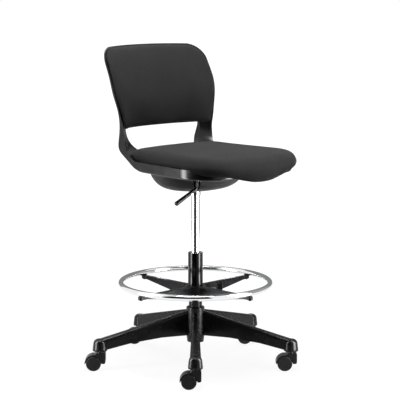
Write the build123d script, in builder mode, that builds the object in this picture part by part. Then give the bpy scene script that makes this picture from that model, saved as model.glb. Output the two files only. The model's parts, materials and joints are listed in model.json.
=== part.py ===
from build123d import *
import os
from math import atan2, cos, degrees, radians, sin, tan

os.makedirs("parts", exist_ok=True)

# Drafting chair, in millimetres. The origin is on the floor under the column's axis, +Z is up,
# the sitter faces -Y and the sitter's right hand is on the -X side.

# Clearances
RUNNING = 0.05
GAP = 0.3

# Height of the seat's underside: the seat, the back and the mechanism take their heights from it
SEAT_FLOOR = 663.0

# Headings of what stands round the column, in degrees from +X
FRONT_LEG = 227.0
CASTER_HEADING = 137.0
SPIDER_HEADING = 272.0
KNOB_HEADING = 317.0
LEVER_HEADING = 229.0

# Casters
WHEEL_RADIUS = 25.0
WHEEL_WIDTH = 17.0
WHEEL_EDGE = 2.5
CASTER_TRAIL = 21.0
CASTER_WEB = 8.0
CASTER_TOP = 62.0
HOOD_GAP = 1.6
HOOD_WALL = 3.0
NECK_REACH = 19.0
NECK_ROUND = 6.0
AXLE_RADIUS = 4.0
AXLE_BOSS = 12.0
AXLE_END = 3.0
STEM_RADIUS = 5.5
STEM_SEAT = 16.0
STEM_GRIP = 36.0
STEM_FLANGE = 9.0
STEM_GROOVE = 0.8

# Five-leg base
LEGS = 5
STEM_CIRCLE = 334.0
FOOT_Z = 66.0
FOOT_RADIUS = 24.0
FOOT_SKIRT = 6.0
FOOT_TOP_RADIUS = 20.0
FOOT_TOP_ROUND = 16.0
FOOT_TOP = 106.0
HUB_RADIUS = 31.0
HUB_FOOT_RADIUS = 28.0
HUB_BOTTOM = 74.0
HUB_TOP = 194.0
HUB_ROUND = 4.0
LEG_START = 20.0
LEG_ROOT_TOP = 183.0
LEG_ROOT_BOTTOM = 98.0
LEG_TIP_TOP = 105.0
LEG_TIP_BOTTOM = 68.0
LEG_ARCH = 10.5
LEG_ROOT_WIDTH = 24.0
LEG_TIP_WIDTH = 41.0
LEG_DRAFT = 3.0
LEG_ROOT_ROUND = 7.0
LEG_TIP_ROUND = 13.0
LEG_WALL = 4.0
LEG_RIBS = 4
LEG_RIB = 3.0

# Gas column
TUBE_RADIUS = 25.0
TUBE_WALL = 2.0
TUBE_TOP = 379.0
NECK_RADIUS = 22.75
NECK_TOP = 222.0
NECK_SWAGE = 10.0
TAPER_RADIUS = 21.6
TUBE_BOTTOM = 80.0
TUBE_FLOOR = 3.0
BUSH_LENGTH = 80.0
BUSH_SINK = 2.0
CYLINDER_RADIUS = 14.0
CYLINDER_WALL = 2.5
CYLINDER_BOTTOM = 290.0
CYLINDER_DROP = 27.0
TAPER_LENGTH = 62.0
TAPER_DROP = 0.8
STROKE = 190.0
CHAMBER_SPARE = 30.0
GLAND = 8.0
ROD_RADIUS = 5.0
PISTON_LIFT = 2.0
PISTON_HEIGHT = 12.0
RACE_INNER = 6.0
RACE_OUTER = 15.0
RACE_HEIGHT = 2.0
CAGE_HEIGHT = 4.0
BUMPER_RADIUS = 12.0
BUMPER_HEIGHT = 4.0
CLIP_RADIUS = 9.0
CLIP_HEIGHT = 1.6
ROD_TAIL = 4.0
PIN_RADIUS = 4.0
PIN_SEAT = 40.0
PIN_TRAVEL = 4.0

# Foot ring
RING_RADIUS = 251.0
RING_TUBE = 10.0
RING_WALL = 1.5
RING_Z = 275.0
ARMS = 4
SPIDER_TOP = 266.0
SPIDER_BOTTOM = 222.0
SPIDER_RADIUS = 36.0
SPIDER_EDGE = 3.0
ARM_ROOT = 28.0
ARM_KNEE = 230.0
ARM_ROOT_WIDTH = 22.0
ARM_TIP_WIDTH = 16.0
ARM_TIP_HEIGHT = 12.0
ARM_ROUND = 3.0
RING_SCREW = 2.5
RING_SCREW_HEAD = 5.0
RING_SCREW_HEAD_HEIGHT = 3.0
RING_SCREW_LENGTH = 18.0
SHOE_RADIUS = 5.0
SHOE_LENGTH = 4.0
SHOE_FLOOR = 1.5
CLAMP_TRAVEL = 3.0
STUD_RADIUS = 4.0
STUD_TIP = 2.5
CLAMP_BOSS_RADIUS = 10.0
CLAMP_BOSS_REACH = 48.0
KNOB_Z = 254.0
KNOB_REACH = 73.0
KNOB_RADIUS = 23.0
KNOB_THICKNESS = 18.0
KNOB_LOBES = 8
KNOB_LOBE_RADIUS = 6.0
KNOB_LOBE_CUT = 2.5
KNOB_ROUND = 1.5
KNOB_SOCKET = 9.0

# Seat mechanism
SOCKET_RADIUS = 17.0
SOCKET_DROP = 31.0
CHANNEL_WALL = 3.0
CHANNEL_WIDTH = 50.0
CHANNEL_DROP = 34.0
CHANNEL_REAR = 45.0
CHANNEL_FRONT = 92.0
PLATE_THICKNESS = 3.0
PLATE_WIDTH = 176.0
PLATE_FRONT = 118.0
PLATE_REAR = 62.0
PLATE_CORNER = 14.0
BOLT_WIDTH = 140.0
BOLT_FRONT = 106.0
BOLT_REAR = -6.0
BOLT_RADIUS = 3.0
BOLT_HEAD = 5.5
BOLT_HEAD_HEIGHT = 4.0
NUT_RADIUS = 4.5

# Height lever
LEVER_ROD = 4.0
LEVER_DEPTH = 18.0
LEVER_TAIL = 6.0
LEVER_PIVOT = 35.0
LEVER_HUB = 7.0
LEVER_HUB_WIDTH = 16.0
LEVER_PIN = 3.0
LEVER_ELBOW = 145.0
LEVER_DROP = 28.0
LEVER_BEND = 9.0
GRIP_HEADING = 180.5
GRIP_SLOPE = 24.5
GRIP_START = 12.0
GRIP_LENGTH = 92.0
GRIP_SOCKET = 25.0
GRIP_ROOT = 5.6
GRIP_END = 7.4
GRIP_ROUND = 4.0

# Cover under the seat, its levels as depth, half width and half length about its own middle
COVER_Y = -14.0
COVER_LEVELS = ((69, 62, 46), (64, 98, 70), (50, 143, 102), (27, 170, 119), (-1, 184, 128))
COVER_SKIRT = 50.0
COVER_WALL = 2.5
COVER_HOLE_GAP = 1.5
NOTCH_TOP = 34.0
NOTCH_BOTTOM = 13.0
NOTCH_DROP = 52.0
NOTCH_START = 92.0
SCREW_BOSS = 6.5
SCREW_RADIUS = 2.0
SCREW_HEAD = 4.0
SCREW_HEAD_HEIGHT = 2.5
SCREW_DROP = 51.0
COVER_SCREW_REACH = 68.0
COVER_SCREWS = 3

# Moulded shell of seat and back
SHELL_WALL = 5.0
RIM_HEIGHT = 33.0
SEAT_FRONT = 301.0
SEAT_FRONT_WIDTH = 468.0
SEAT_FRONT_BOW = 24.0
SEAT_FRONT_ROUND = 420.0
SEAT_CORNER = 110.0
SEAT_REAR = 75.0
SEAT_REAR_WIDTH = 408.0
SEAT_SPRING = 30.0
TRAY_BEND = 15.0
TRAY_REAR = 60.0
TRAY_RISE = 12.0
RIM_LAP = 1.0
RIM_DIP_START = 244.0
RIM_DIP = 22.0
WAIST_IN = 5.0
WAIST_Y = 114.0
WAIST_ROUND = 120.0
JOIN_HEIGHT = 79.0
WAIST_HEIGHT = 123.0
WIDEST_HEIGHT = 259.0
BACK_WIDTH = 462.0
BACK_TOP_WIDTH = 448.0
BACK_HEIGHT = 399.0
BACK_CROWN = 5.0
BACK_CORNER = 56.0
BACK_SIDE_ROUND = 260.0
BACK_WAIST_ROUND = 140.0
WINDOW_SILL = 42.0
WINDOW_HEAD = 143.0
WINDOW_BOTTOM_WIDTH = 332.0
WINDOW_TOP_WIDTH = 336.0
WINDOW_ROUND = 86.0
WINDOW_TOP_ROUND = 12.0
SHELL_EDGE = 7.0
HOLLOW_INSET = 2.0
STATION_STEPS = (11.0, -29.0, -104.0)

# Pads
BOARD = 8.0
BOARD_INSET = 26.0
SEAT_PAD_OVERHANG = 37.0
SEAT_PAD_FRONT_BOW = 34.0
SEAT_PAD_REAR_INSET = 10.0
SEAT_PAD_CORNER = 112.0
SEAT_PAD_INSET = 4.0
SEAT_PAD_REAR = 122.0
SEAT_PAD_REAR_BOW = 14.0
SEAT_PAD_HEIGHT = 64.0
SEAT_PAD_CROWN = 7.0
SEAT_PAD_FALL = 34.0
SEAT_PAD_BEND = 200.0
SEAT_PAD_REAR_CORNER = 18.0
SEAT_PAD_CLEAR = 1.5
SEAT_PAD_HEEL = 10.0
SEAT_PAD_LIP_DROP = 23.0
SEAT_PAD_GIRTH_HEIGHT = 41.0
SEAT_PAD_TUCK = 26.0
SEAT_PAD_EDGE = 11.0
BACK_PAD_LOW_HEIGHT = 127.0
BACK_PAD_ARCH = 4.0
BACK_PAD_SIDE = 12.0
BACK_PAD_CROWN = 14.0
BACK_PAD_INSET = 1.5
BACK_PAD_EDGE = 4.0
BACK_PAD_LOW_CORNER = 12.0
BACK_BOARD = 4.0
BACK_PAD_GAP = 1.2
BACK_BOARD_INSET = 24.0

# Levels that follow from the seat's underside, and half widths of the shell
cylinder_top = SEAT_FLOOR - CYLINDER_DROP
socket_top = SEAT_FLOOR - SOCKET_DROP
channel_bottom = SEAT_FLOOR - CHANNEL_DROP
lever_z = SEAT_FLOOR - LEVER_DEPTH
notch_low = SEAT_FLOOR - NOTCH_DROP
screw_sink = SEAT_FLOOR - SCREW_DROP
seat_rim = SEAT_FLOOR + RIM_HEIGHT
join_z = SEAT_FLOOR + JOIN_HEIGHT
waist_z = SEAT_FLOOR + WAIST_HEIGHT
widest_z = SEAT_FLOOR + WIDEST_HEIGHT
back_top = SEAT_FLOOR + BACK_HEIGHT
window_bottom = SEAT_FLOOR + WINDOW_SILL
window_top = SEAT_FLOOR + WINDOW_HEAD
pad_top = SEAT_FLOOR + SEAT_PAD_HEIGHT
pad_lip = SEAT_FLOOR - SEAT_PAD_LIP_DROP
pad_widest = SEAT_FLOOR + SEAT_PAD_GIRTH_HEIGHT
pad_front = SEAT_FRONT + SEAT_PAD_OVERHANG
back_pad_bottom = SEAT_FLOOR + BACK_PAD_LOW_HEIGHT
rear_half = SEAT_REAR_WIDTH / 2
waist_half = rear_half - WAIST_IN
back_half = BACK_WIDTH / 2
top_half = BACK_TOP_WIDTH / 2
widest_half = max(SEAT_FRONT_WIDTH, BACK_WIDTH) / 2

# Plan hollow of the shell at a level: depth at the middle, half width where it reaches zero, power
FLAT = (0.0, rear_half, 2.0)
ELBOW = (14.0, rear_half - HOLLOW_INSET / 2, 4.0)
ARM = (47.0, waist_half, 5.0)
LOIN = (48.0, (waist_half + back_half - HOLLOW_INSET) / 2, 3.5)
BACK = (50.0, back_half - HOLLOW_INSET, 2.6)
HEAD = (52.0, top_half - HOLLOW_INSET, 2.4)

# Side edges of the shell from the seat up to the top of the back, as y, height and level
INNER_EDGE = (
    (72, 34, FLAT),
    (97, 43, ELBOW),
    (118, 59, ELBOW),
    (132, 102, ARM),
    (139, 149, ARM),
    (138, 197, LOIN),
    (141, 237, BACK),
    (160, 297, BACK),
    (183, 347, BACK),
    (220, 415, HEAD),
)
OUTER_EDGE = (
    (76, 8, FLAT),
    (133, 41, ELBOW),
    (161, 66, ELBOW),
    (163, 102, ARM),
    (156, 150, ARM),
    (146, 197, LOIN),
    (151, 237, BACK),
    (170, 297, BACK),
    (193, 347, BACK),
    (230, 415, HEAD),
)
BACK_FROM = 3
half_stations = [widest_half + step for step in STATION_STEPS]
STATIONS = [-x for x in half_stations] + [0] + half_stations[::-1]


def turned(heading, height=0.0):
    """Level plane on the column's axis whose X axis points along a heading."""
    ahead = (cos(radians(heading)), sin(radians(heading)), 0)
    return Plane((0, 0, height), x_dir=ahead, z_dir=(0, 0, 1))


def along(heading, reach, height):
    """Point at a reach from the column's axis along a heading."""
    return Vector(reach * cos(radians(heading)), reach * sin(radians(heading)), height)


def across(heading, reach, height=0.0):
    """Plane square to a heading, its X axis sideways and its Y axis up."""
    side = (-sin(radians(heading)), cos(radians(heading)), 0)
    ahead = (cos(radians(heading)), sin(radians(heading)), 0)
    return Plane(along(heading, reach, height), x_dir=side, z_dir=ahead)


def write(part, name):
    """Label a finished piece and write it."""
    part.label = name
    export_step(part, "parts/" + name + ".step")


def turned_solid(profile):
    """Solid of revolution about the column's axis from a closed list of radius and height."""
    with BuildPart() as solid:
        with BuildSketch(Plane.XZ):
            with BuildLine():
                Polyline(*profile, close=True)
            make_face()
        revolve(axis=Axis.Z)
    return solid.part


def ring_profile(inner, outer, bottom, top):
    """Profile of a plain ring."""
    return ((inner, bottom), (outer, bottom), (outer, top), (inner, top))


# Caster pieces, made once about the stem's axis with the wheels trailing along +X
hood_radius = WHEEL_RADIUS + HOOD_GAP + HOOD_WALL
caster_half = CASTER_WEB / 2 + WHEEL_WIDTH
wheel_spot = (CASTER_TRAIL, WHEEL_RADIUS)
wheel_gap = 2 * GAP
axle_half = caster_half - AXLE_END

with BuildPart() as caster_housing:
    with BuildSketch(Plane.XZ):
        with Locations(wheel_spot):
            Circle(hood_radius)
            Rectangle(2 * hood_radius, hood_radius, align=(Align.CENTER, Align.MAX), mode=Mode.SUBTRACT)
        with BuildSketch(mode=Mode.PRIVATE) as neck:
            with BuildLine():
                Polyline(
                    (-NECK_REACH, WHEEL_RADIUS),
                    (-NECK_REACH, CASTER_TOP),
                    (NECK_REACH / 2, CASTER_TOP),
                    (CASTER_TRAIL, WHEEL_RADIUS + hood_radius - HOOD_WALL),
                    (CASTER_TRAIL, WHEEL_RADIUS),
                    close=True,
                )
            make_face()
            fillet(neck.vertices().group_by(Axis.X)[0], NECK_ROUND)
        add(neck.sketch)
    extrude(amount=caster_half - GAP, both=True)
    for side in (1, -1):
        with BuildSketch(Plane.XZ.offset(side * CASTER_WEB / 2)):
            with Locations(wheel_spot):
                Circle(WHEEL_RADIUS + HOOD_GAP)
        extrude(amount=side * WHEEL_WIDTH, mode=Mode.SUBTRACT)
    with BuildSketch(Plane.XZ):
        with Locations(wheel_spot):
            Circle(AXLE_BOSS)
    extrude(amount=CASTER_WEB / 2, both=True)
    with BuildSketch(Plane.XZ):
        with Locations(wheel_spot):
            Circle(AXLE_RADIUS)
    extrude(amount=CASTER_WEB / 2, both=True, mode=Mode.SUBTRACT)
    with BuildSketch(Plane.XY.offset(CASTER_TOP)):
        Circle(STEM_RADIUS)
    extrude(amount=-STEM_SEAT, mode=Mode.SUBTRACT)

groove_low = FOOT_Z + STEM_GRIP * 0.7
groove_high = FOOT_Z + STEM_GRIP * 0.8
stem_tip = FOOT_Z + STEM_GRIP
caster_stem = turned_solid(
    (
        (0, CASTER_TOP - STEM_SEAT),
        (STEM_RADIUS, CASTER_TOP - STEM_SEAT),
        (STEM_RADIUS, CASTER_TOP),
        (STEM_FLANGE, CASTER_TOP),
        (STEM_FLANGE, FOOT_Z - GAP),
        (STEM_RADIUS, FOOT_Z - GAP),
        (STEM_RADIUS, groove_low),
        (STEM_RADIUS - STEM_GROOVE, groove_low + STEM_GROOVE),
        (STEM_RADIUS - STEM_GROOVE, groove_high),
        (STEM_RADIUS, groove_high + STEM_GROOVE),
        (STEM_RADIUS, stem_tip - 2 * STEM_GROOVE),
        (STEM_RADIUS - 2 * STEM_GROOVE, stem_tip),
        (0, stem_tip),
    )
)

with BuildPart() as caster_axle:
    with BuildSketch(Plane.XZ):
        with Locations(wheel_spot):
            Circle(AXLE_RADIUS)
    extrude(amount=axle_half, both=True)


def caster_wheel(side):
    """One wheel, on the -Y side of the web for 1 and on the +Y side for -1."""
    inner = CASTER_WEB / 2 + wheel_gap
    with BuildPart() as wheel:
        with BuildSketch(Plane.XZ.offset(side * inner)):
            with Locations(wheel_spot):
                Circle(WHEEL_RADIUS)
        extrude(amount=side * (WHEEL_WIDTH - wheel_gap))
        chamfer(wheel.edges().filter_by(GeomType.CIRCLE), WHEEL_EDGE)
        with BuildSketch(Plane.XZ.offset(side * inner)):
            with Locations(wheel_spot):
                Circle(AXLE_RADIUS + RUNNING)
        extrude(amount=side * (axle_half - inner + GAP), mode=Mode.SUBTRACT)
    return wheel.part


caster_pieces = {
    "housing": caster_housing.part,
    "stem": caster_stem,
    "axle": caster_axle.part,
    "wheel_left": caster_wheel(1),
    "wheel_right": caster_wheel(-1),
}
leg_step = 360.0 / LEGS
trail = (cos(radians(CASTER_HEADING)), sin(radians(CASTER_HEADING)), 0)
for leg in range(LEGS):
    spot = Plane(along(FRONT_LEG + leg * leg_step, STEM_CIRCLE, 0), x_dir=trail, z_dir=(0, 0, 1))
    for piece, shape in caster_pieces.items():
        write(shape.moved(spot.location), f"caster_{leg + 1}_{piece}")


# Five-leg base: one hollow ribbed leg is lofted along +X and copied round the hub
def leg_section(reach, wall):
    """Upright section of the leg at a reach, drawn in by a wall at its sides and top."""
    share = (reach - LEG_START) / (STEM_CIRCLE - LEG_START)
    top = LEG_ROOT_TOP + share * (LEG_TIP_TOP - LEG_ROOT_TOP) - wall
    bottom = LEG_ROOT_BOTTOM + share * (LEG_TIP_BOTTOM - LEG_ROOT_BOTTOM)
    bottom += LEG_ARCH * 4 * share * (1 - share) - wall
    half = (LEG_ROOT_WIDTH + share * (LEG_TIP_WIDTH - LEG_ROOT_WIDTH)) / 2 - wall
    rounding = LEG_ROOT_ROUND + share * (LEG_TIP_ROUND - LEG_ROOT_ROUND) - wall
    with BuildSketch(across(0, reach)) as section:
        with BuildLine():
            Polyline(
                (-half, bottom),
                (half, bottom),
                (half - LEG_DRAFT, top),
                (LEG_DRAFT - half, top),
                close=True,
            )
        make_face()
        fillet(section.vertices().group_by(Axis.Y)[-1], rounding)
    return section.sketch


leg_reach = STEM_CIRCLE - LEG_START
hollow_start = HUB_RADIUS + LEG_WALL
hollow_reach = STEM_CIRCLE - FOOT_TOP_RADIUS - hollow_start
with BuildPart() as leg_hollow:
    for share in (0.0, 0.33, 0.67, 1.0):
        add(leg_section(hollow_start + share * hollow_reach, LEG_WALL))
    loft(ruled=True)
    for rib in range(LEG_RIBS):
        with Locations((hollow_start + (rib + 1) * hollow_reach / (LEG_RIBS + 1), 0, LEG_TIP_TOP)):
            Box(LEG_RIB, 2 * LEG_TIP_WIDTH, 2 * LEG_ROOT_TOP, mode=Mode.SUBTRACT)

with BuildPart() as base_leg:
    for share in (0.0, 0.33, 0.67, 1.0):
        add(leg_section(LEG_START + share * leg_reach, 0))
    loft(ruled=True)
    add(leg_hollow.part, mode=Mode.SUBTRACT)
    stem_axis = Axis((STEM_CIRCLE, 0, 0), (0, 0, 1))
    with BuildSketch(Plane((STEM_CIRCLE, 0, 0), x_dir=(1, 0, 0), z_dir=(0, -1, 0))) as foot:
        with BuildLine():
            Polyline(
                (0, FOOT_Z),
                (FOOT_RADIUS, FOOT_Z),
                (FOOT_RADIUS, FOOT_Z + FOOT_SKIRT),
                (FOOT_TOP_RADIUS, FOOT_TOP),
                (0, FOOT_TOP),
                close=True,
            )
        make_face()
        crown = foot.vertices().group_by(Axis.Y)[-1].sort_by(Axis.X)[-1]
        fillet(crown, FOOT_TOP_ROUND)
    revolve(axis=stem_axis)
    with Locations((STEM_CIRCLE, 0, FOOT_Z)):
        Cylinder(
            STEM_RADIUS + RUNNING,
            STEM_GRIP + GAP,
            align=(Align.CENTER, Align.CENTER, Align.MIN),
            mode=Mode.SUBTRACT,
        )

column_outer = (
    (TAPER_RADIUS, TUBE_BOTTOM),
    (NECK_RADIUS, NECK_TOP),
    (TUBE_RADIUS, NECK_TOP + NECK_SWAGE),
    (TUBE_RADIUS, TUBE_TOP),
)
with BuildPart() as star_base:
    with BuildSketch(Plane.XZ) as hub:
        with BuildLine():
            Polyline(
                (0, HUB_BOTTOM),
                (HUB_FOOT_RADIUS, HUB_BOTTOM),
                (HUB_RADIUS, LEG_ROOT_BOTTOM),
                (HUB_RADIUS, HUB_TOP),
                (0, HUB_TOP),
                close=True,
            )
        make_face()
        fillet(hub.vertices().group_by(Axis.Y)[-1].sort_by(Axis.X)[-1], HUB_ROUND)
    revolve(axis=Axis.Z)
    with PolarLocations(0, LEGS, start_angle=FRONT_LEG):
        add(base_leg.part)
    with BuildSketch(Plane.XZ):
        with BuildLine():
            Polyline((0, 0), (TAPER_RADIUS, 0), *column_outer, (0, TUBE_TOP), close=True)
        make_face()
    revolve(axis=Axis.Z, mode=Mode.SUBTRACT)
write(star_base.part, "star_base")

# Gas column, from the outside in
floor_top = TUBE_BOTTOM + TUBE_FLOOR
column_tube = turned_solid(
    (
        *column_outer,
        (TUBE_RADIUS - TUBE_WALL, TUBE_TOP),
        (TUBE_RADIUS - TUBE_WALL, NECK_TOP + NECK_SWAGE),
        (NECK_RADIUS - TUBE_WALL, NECK_TOP),
        (TAPER_RADIUS - TUBE_WALL, floor_top),
        (ROD_RADIUS + GAP, floor_top),
        (ROD_RADIUS + GAP, TUBE_BOTTOM),
    )
)
write(column_tube, "column_tube")

bush_top = TUBE_TOP - BUSH_SINK
bush_radius = CYLINDER_RADIUS + RUNNING
guide_bush = turned_solid(
    ring_profile(bush_radius, TUBE_RADIUS - TUBE_WALL, bush_top - BUSH_LENGTH, bush_top)
)
write(guide_bush, "guide_bush")

race_top = floor_top + RACE_HEIGHT
cage_top = race_top + CAGE_HEIGHT
upper_top = cage_top + RACE_HEIGHT
bumper_top = upper_top + BUMPER_HEIGHT
write(turned_solid(ring_profile(RACE_INNER, RACE_OUTER, floor_top, race_top)), "lower_race")
write(turned_solid(ring_profile(RACE_INNER, RACE_OUTER, race_top + RUNNING, cage_top)), "ball_cage")
write(turned_solid(ring_profile(ROD_RADIUS, RACE_OUTER, cage_top, upper_top)), "upper_race")
write(turned_solid(ring_profile(ROD_RADIUS, BUMPER_RADIUS, upper_top, bumper_top)), "bumper")
clip_top = TUBE_BOTTOM - GAP
write(turned_solid(ring_profile(ROD_RADIUS, CLIP_RADIUS, clip_top - CLIP_HEIGHT, clip_top)), "rod_clip")

chamber_radius = CYLINDER_RADIUS - CYLINDER_WALL
chamber_bottom = CYLINDER_BOTTOM + GLAND
piston_bottom = chamber_bottom + PISTON_LIFT
piston_top = piston_bottom + PISTON_HEIGHT
chamber_top = piston_top + STROKE + CHAMBER_SPARE
piston_rod = turned_solid(
    (
        (0, clip_top - ROD_TAIL),
        (ROD_RADIUS, clip_top - ROD_TAIL),
        (ROD_RADIUS, piston_bottom),
        (chamber_radius - RUNNING, piston_bottom),
        (chamber_radius - RUNNING, piston_top),
        (0, piston_top),
    )
)
write(piston_rod, "piston_rod")

taper_bottom = cylinder_top - TAPER_LENGTH
pin_bottom = cylinder_top - PIN_SEAT
head_radius = CYLINDER_RADIUS - TAPER_DROP
gas_cylinder = turned_solid(
    (
        (ROD_RADIUS + RUNNING, CYLINDER_BOTTOM),
        (CYLINDER_RADIUS, CYLINDER_BOTTOM),
        (CYLINDER_RADIUS, taper_bottom),
        (head_radius, cylinder_top),
        (PIN_RADIUS + RUNNING, cylinder_top),
        (PIN_RADIUS + RUNNING, pin_bottom - PIN_TRAVEL),
        (0, pin_bottom - PIN_TRAVEL),
        (0, chamber_top),
        (chamber_radius, chamber_top),
        (chamber_radius, chamber_bottom),
        (ROD_RADIUS + RUNNING, chamber_bottom),
    )
)
write(gas_cylinder, "gas_cylinder")

pin_top = lever_z - LEVER_ROD - GAP
write(turned_solid(ring_profile(0, PIN_RADIUS, pin_bottom, pin_top)), "release_pin")

# Foot ring on its spider
ring_bottom = RING_Z - RING_TUBE
arm_tip = RING_RADIUS + RING_TUBE
tip_bottom = SPIDER_TOP - ARM_TIP_HEIGHT


def arm_section(reach, bottom, width):
    """Upright section of a spider arm with rounded upper corners."""
    with BuildSketch(across(0, reach)) as section:
        with Locations((0, bottom)):
            Rectangle(width, SPIDER_TOP - bottom, align=(Align.CENTER, Align.MIN))
        fillet(section.vertices().group_by(Axis.Y)[-1], ARM_ROUND)
    return section.sketch


with BuildPart() as spider_arm:
    add(arm_section(ARM_ROOT, SPIDER_BOTTOM, ARM_ROOT_WIDTH))
    add(arm_section(ARM_KNEE, tip_bottom, ARM_TIP_WIDTH))
    add(arm_section(arm_tip, tip_bottom, ARM_TIP_WIDTH))
    loft(ruled=True)
    tip_edges = spider_arm.faces().sort_by(Axis.X)[-1].edges().filter_by(Axis.Z)
    fillet(tip_edges, ARM_TIP_WIDTH / 2 - GAP)

with BuildPart() as foot_ring:
    with Locations((0, 0, RING_Z)):
        Torus(RING_RADIUS, RING_TUBE)
        Torus(RING_RADIUS, RING_TUBE - RING_WALL, mode=Mode.SUBTRACT)
    with BuildSketch(turned(SPIDER_HEADING, ring_bottom)):
        with PolarLocations(RING_RADIUS, ARMS):
            Circle(RING_SCREW)
    extrude(amount=RING_TUBE, mode=Mode.SUBTRACT)
write(foot_ring.part, "foot_ring")

shoe_start = TUBE_RADIUS + GAP
shoe_end = shoe_start + SHOE_LENGTH
pocket_end = shoe_end + CLAMP_TRAVEL + GAP
with BuildPart() as ring_spider:
    with BuildSketch(Plane.XY.offset(SPIDER_BOTTOM)):
        Circle(SPIDER_RADIUS)
    extrude(amount=SPIDER_TOP - SPIDER_BOTTOM)
    fillet(ring_spider.edges().group_by(Axis.Z)[-1], SPIDER_EDGE)
    with PolarLocations(0, ARMS, start_angle=SPIDER_HEADING):
        add(spider_arm.part)
    with BuildSketch(across(KNOB_HEADING, ARM_ROOT, KNOB_Z)):
        Circle(CLAMP_BOSS_RADIUS)
    extrude(amount=CLAMP_BOSS_REACH - ARM_ROOT)
    with BuildSketch(Plane.XY.offset(SPIDER_BOTTOM)):
        Circle(TUBE_RADIUS + RUNNING)
    extrude(amount=SPIDER_TOP - SPIDER_BOTTOM, mode=Mode.SUBTRACT)
    with BuildSketch(across(KNOB_HEADING, 0, KNOB_Z)):
        Circle(SHOE_RADIUS + RUNNING)
    extrude(amount=pocket_end, mode=Mode.SUBTRACT)
    with BuildSketch(across(KNOB_HEADING, 0, KNOB_Z)):
        Circle(STUD_RADIUS + RUNNING)
    extrude(amount=CLAMP_BOSS_REACH, mode=Mode.SUBTRACT)
    with Locations((0, 0, RING_Z)):
        Torus(RING_RADIUS, RING_TUBE, mode=Mode.SUBTRACT)
    with BuildSketch(turned(SPIDER_HEADING, tip_bottom)):
        with PolarLocations(RING_RADIUS, ARMS):
            Circle(RING_SCREW)
    extrude(amount=ARM_TIP_HEIGHT, mode=Mode.SUBTRACT)
write(ring_spider.part, "ring_spider")

with BuildPart() as ring_screws:
    with BuildSketch(turned(SPIDER_HEADING, tip_bottom)):
        with PolarLocations(RING_RADIUS, ARMS):
            Circle(RING_SCREW)
    extrude(amount=RING_SCREW_LENGTH)
    with BuildSketch(turned(SPIDER_HEADING, tip_bottom)):
        with PolarLocations(RING_RADIUS, ARMS):
            Circle(RING_SCREW_HEAD)
    extrude(amount=-RING_SCREW_HEAD_HEIGHT)
write(ring_screws.part, "ring_screws")

tip_start = shoe_start + SHOE_FLOOR
with BuildPart() as clamp_shoe:
    with BuildSketch(across(KNOB_HEADING, shoe_start, KNOB_Z)):
        Circle(SHOE_RADIUS)
    extrude(amount=SHOE_LENGTH)
    with BuildSketch(across(KNOB_HEADING, tip_start, KNOB_Z)):
        Circle(STUD_TIP + RUNNING)
    extrude(amount=SHOE_LENGTH, mode=Mode.SUBTRACT)
write(clamp_shoe.part, "clamp_shoe")

with BuildPart() as clamp_stud:
    with BuildSketch(across(KNOB_HEADING, tip_start + GAP, KNOB_Z)):
        Circle(STUD_TIP)
    extrude(amount=SHOE_LENGTH)
    with BuildSketch(across(KNOB_HEADING, shoe_end + GAP, KNOB_Z)):
        Circle(STUD_RADIUS)
    extrude(amount=KNOB_REACH + KNOB_SOCKET - shoe_end - GAP)
write(clamp_stud.part, "clamp_stud")

with BuildPart() as clamp_knob:
    with BuildSketch(across(KNOB_HEADING, KNOB_REACH, KNOB_Z)):
        Circle(KNOB_RADIUS)
        with PolarLocations(KNOB_RADIUS + KNOB_LOBE_RADIUS - KNOB_LOBE_CUT, KNOB_LOBES):
            Circle(KNOB_LOBE_RADIUS, mode=Mode.SUBTRACT)
    extrude(amount=KNOB_THICKNESS)
    outward = Axis((0, 0, KNOB_Z), along(KNOB_HEADING, 1, 0))
    fillet(clamp_knob.faces().sort_by(outward)[-1].edges(), KNOB_ROUND)
    with BuildSketch(across(KNOB_HEADING, KNOB_REACH, KNOB_Z)):
        Circle(STUD_RADIUS)
    extrude(amount=KNOB_SOCKET, mode=Mode.SUBTRACT)
write(clamp_knob.part, "clamp_knob")

# Seat mechanism
taper_share = (socket_top - taper_bottom) / TAPER_LENGTH
socket_head = CYLINDER_RADIUS - TAPER_DROP * taper_share
taper_socket = turned_solid(
    (
        (CYLINDER_RADIUS, taper_bottom),
        (SOCKET_RADIUS, taper_bottom),
        (SOCKET_RADIUS, socket_top),
        (socket_head, socket_top),
    )
)
write(taper_socket, "taper_socket")

plate_bottom = SEAT_FLOOR - PLATE_THICKNESS
bolt_spots = [
    (x * BOLT_WIDTH / 2, y) for x in (-1, 1) for y in (-BOLT_FRONT, BOLT_REAR)
]
screw_step = 360.0 / (COVER_SCREWS + 1)
screw_spots = [
    along(LEVER_HEADING + screw_step * (turn + 1), COVER_SCREW_REACH, 0)
    for turn in range(COVER_SCREWS)
]

with BuildPart() as mechanism_plate:
    with BuildSketch(Plane.XY.offset(plate_bottom)):
        with Locations((0, (PLATE_REAR - PLATE_FRONT) / 2)):
            RectangleRounded(PLATE_WIDTH, PLATE_REAR + PLATE_FRONT, PLATE_CORNER)
        with Locations(*bolt_spots):
            Circle(BOLT_RADIUS, mode=Mode.SUBTRACT)
        with Locations(*screw_spots):
            Circle(SCREW_RADIUS, mode=Mode.SUBTRACT)
    extrude(amount=PLATE_THICKNESS)
write(mechanism_plate.part, "mechanism_plate")

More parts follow.
